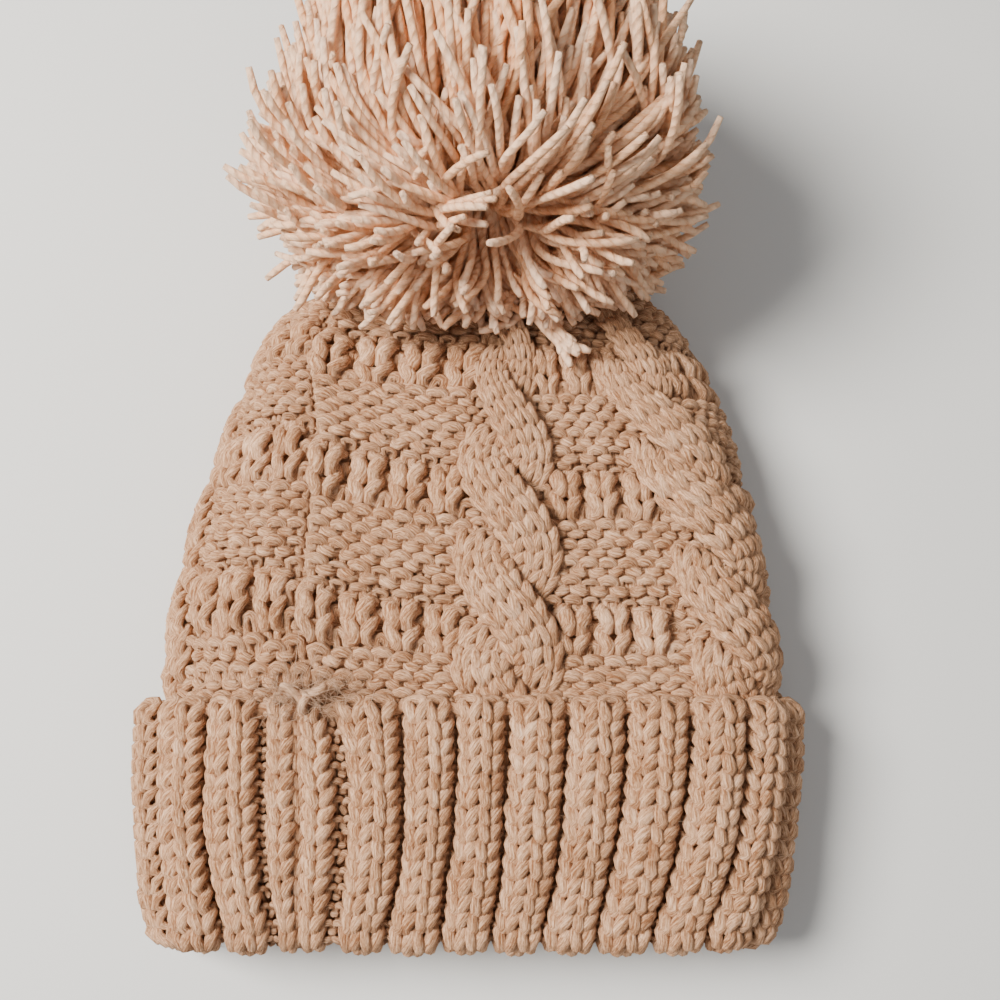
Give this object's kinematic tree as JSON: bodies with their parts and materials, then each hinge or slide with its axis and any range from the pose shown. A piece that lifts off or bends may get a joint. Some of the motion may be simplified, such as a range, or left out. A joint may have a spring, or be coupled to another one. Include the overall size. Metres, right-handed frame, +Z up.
{
  "type": "pom pom beanie",
  "caption": "Chunky cable-knit beanie with a turned-up ribbed cuff and a large loose yarn pom pom tied to its gathered crown, lying flat.",
  "frame": {"origin": "middle of the beanie's footprint, on the surface it lies on", "axes": "+Y from the brim to the pom pom, +Z up out of the surface towards the front face, +X to the right as seen from above with the pom pom away from the viewer"},
  "size_m": [0.2192, 0.3226, 0.132],
  "materials": {
    "hat_yarn": "soft matte peach-beige acrylic yarn, chunky knitting",
    "tie_yarn": "soft matte yarn, tightly wound",
    "pom_yarn": "soft matte pale peach yarn, loosely plied cut ends"
  },
  "bodies": {
    "hat": {"body_panel": "hat_yarn", "cable_1": "hat_yarn", "cable_2": "hat_yarn", "cable_3": "hat_yarn", "cable_4": "hat_yarn", "cable_5": "hat_yarn", "side_seam": "hat_yarn", "crown_gather": "hat_yarn", "gather_yarn": "hat_yarn", "cuff_outer": "hat_yarn", "cuff_inner": "hat_yarn", "cuff_fold": "hat_yarn", "cast_on_edge": "hat_yarn", "cuff_seam": "hat_yarn", "seam_knot": "hat_yarn", "tie_shank": "tie_yarn", "anchor_knot": "tie_yarn"},
    "tie_lower": {"tie_loop": "tie_yarn"},
    "tie_upper": {"tie_neck": "tie_yarn"},
    "pom": {"pom_binding": "pom_yarn", "pom_tuft_1": "pom_yarn", "pom_tuft_2": "pom_yarn", "pom_tuft_3": "pom_yarn", "pom_tuft_4": "pom_yarn", "pom_tuft_5": "pom_yarn", "pom_tuft_6": "pom_yarn", "pom_tuft_7": "pom_yarn", "pom_tuft_8": "pom_yarn", "pom_tuft_9": "pom_yarn", "pom_tuft_10": "pom_yarn"}
  },
  "joints": [
    {"name": "pom_nod", "type": "hinge", "parent": "hat", "child": "tie_lower", "pos_m": [0.0044, 0.0723, 0.024], "axis": [1, 0, 0], "range_deg": [-40, 6]},
    {"name": "pom_sway", "type": "hinge", "parent": "tie_lower", "child": "tie_upper", "pos_m": [0.0044, 0.0723, 0.024], "axis": [0, 0, 1], "range_deg": [-12, 12]},
    {"name": "pom_twist", "type": "hinge", "parent": "tie_upper", "child": "pom", "pos_m": [0.0044, 0.0723, 0.024], "axis": [0, 0.4802, 0.8771], "range_deg": [-20, 20]}
  ]
}
